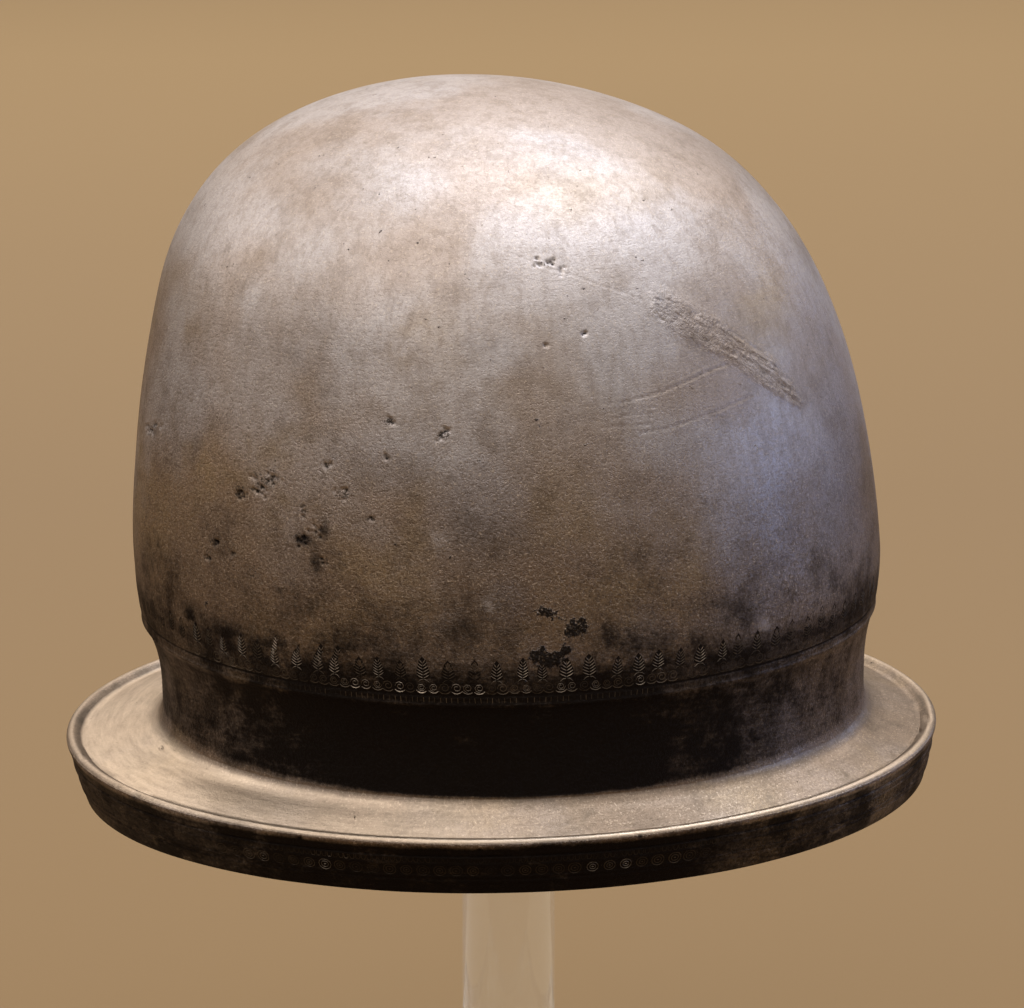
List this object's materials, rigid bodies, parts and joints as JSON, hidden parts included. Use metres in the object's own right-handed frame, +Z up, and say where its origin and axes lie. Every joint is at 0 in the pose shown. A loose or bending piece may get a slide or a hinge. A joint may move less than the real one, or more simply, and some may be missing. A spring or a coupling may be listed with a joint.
{
  "type": "etruscan helmet on clear acrylic stand",
  "caption": "Tall bronze helmet with a smooth dome, stamped palmette frieze, hollow neck and sloping brim with a beaded lip and turned-down rim, on a clear post and square base.",
  "frame": {"origin": "on the surface that the base rests on, under the middle of the helmet's brim", "axes": "+Z up, -X the way the helmet faces, +Y the helmet's right side; Y = 0 is its mirror plane"},
  "size_m": [0.2581, 0.2196, 0.3383],
  "materials": {
    "bronze": "aged bronze, brown to grey patina with dark corrosion spots, satin",
    "acrylic": "clear polished acrylic"
  },
  "bodies": {
    "root": {"helmet_shell": "bronze", "stand_post": "acrylic", "stand_base": "acrylic"}
  },
  "joints": []
}
